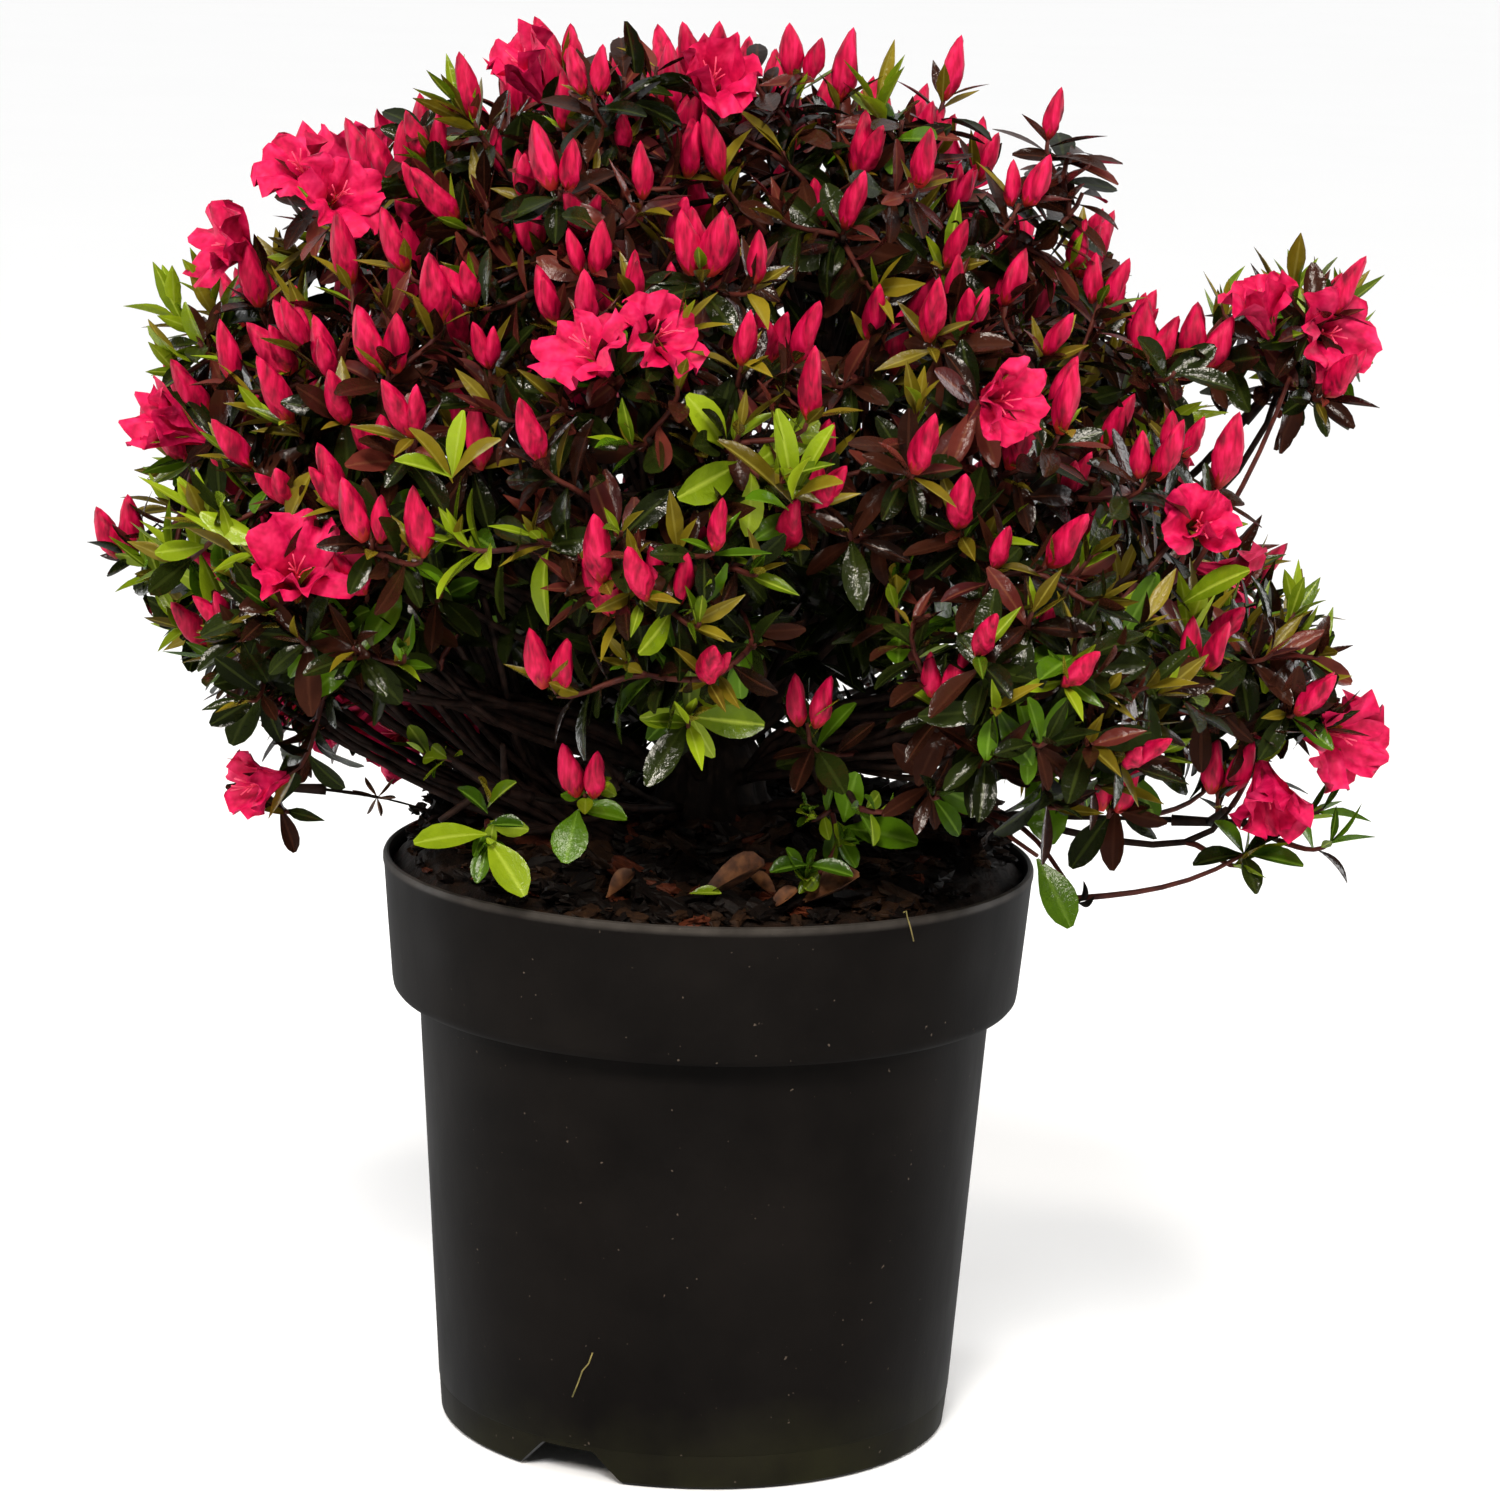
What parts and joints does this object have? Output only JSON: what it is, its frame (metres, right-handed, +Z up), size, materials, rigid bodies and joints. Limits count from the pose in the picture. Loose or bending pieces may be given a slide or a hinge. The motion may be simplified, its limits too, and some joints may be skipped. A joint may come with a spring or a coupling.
{
  "type": "potted azalea shrub",
  "caption": "Rounded evergreen azalea in a black nursery pot: a fan of stems from a short root crown, masses of small leaves with pointed red buds and open flowers.",
  "frame": {"origin": "on the ground under the middle of the whole plant's bounding box", "axes": "+Z up; +X to the right and -Y to the front, the side from which the pot's compost shows under the crown"},
  "size_m": [0.4528, 0.4182, 0.4963],
  "materials": {
    "pot_plastic": "satin black moulded polypropylene",
    "compost": "loose dark bark chips and peat",
    "bark": "rough grey-brown bark",
    "bronze_leaves": "glossy bronze-green leaves with crimson buds",
    "green_leaves": "glossy green leaves with crimson buds"
  },
  "bodies": {
    "root": {"pot": "pot_plastic", "compost": "compost", "root_crown": "bark", "basal_centre_bough": "bark", "basal_left_bough": "bark", "basal_right_bough": "bark", "left_drooping_bough": "bark", "low_1_bough": "bark", "low_2_bough": "bark", "low_3_bough": "bark", "low_4_bough": "bark", "low_5_bough": "bark", "low_6_bough": "bark", "low_7_bough": "bark", "low_8_bough": "bark", "middle_1_bough": "bark", "middle_2_bough": "bark", "middle_3_bough": "bark", "middle_4_bough": "bark", "middle_5_bough": "bark", "middle_6_bough": "bark", "middle_7_bough": "bark", "middle_8_bough": "bark", "right_arm_bough": "bark", "right_drooping_bough": "bark", "top_bough": "bark", "upper_1_bough": "bark", "upper_2_bough": "bark", "upper_3_bough": "bark", "upper_4_bough": "bark", "upper_5_bough": "bark", "basal_centre_foliage": "green_leaves", "basal_left_foliage": "green_leaves", "basal_right_foliage": "green_leaves", "left_drooping_foliage": "green_leaves", "low_1_foliage": "green_leaves", "low_2_foliage": "green_leaves", "low_3_foliage": "green_leaves", "low_4_foliage": "green_leaves", "low_5_foliage": "green_leaves", "low_6_foliage": "green_leaves", "low_7_foliage": "green_leaves", "low_8_foliage": "green_leaves", "middle_1_foliage": "bronze_leaves", "middle_2_foliage": "bronze_leaves", "middle_3_foliage": "bronze_leaves", "middle_4_foliage": "bronze_leaves", "middle_5_foliage": "bronze_leaves", "middle_6_foliage": "bronze_leaves", "middle_7_foliage": "bronze_leaves", "middle_8_foliage": "bronze_leaves", "right_arm_foliage": "bronze_leaves", "right_drooping_foliage": "green_leaves", "top_foliage": "bronze_leaves", "upper_1_foliage": "bronze_leaves", "upper_2_foliage": "bronze_leaves", "upper_3_foliage": "bronze_leaves", "upper_4_foliage": "bronze_leaves", "upper_5_foliage": "bronze_leaves"}
  },
  "joints": []
}
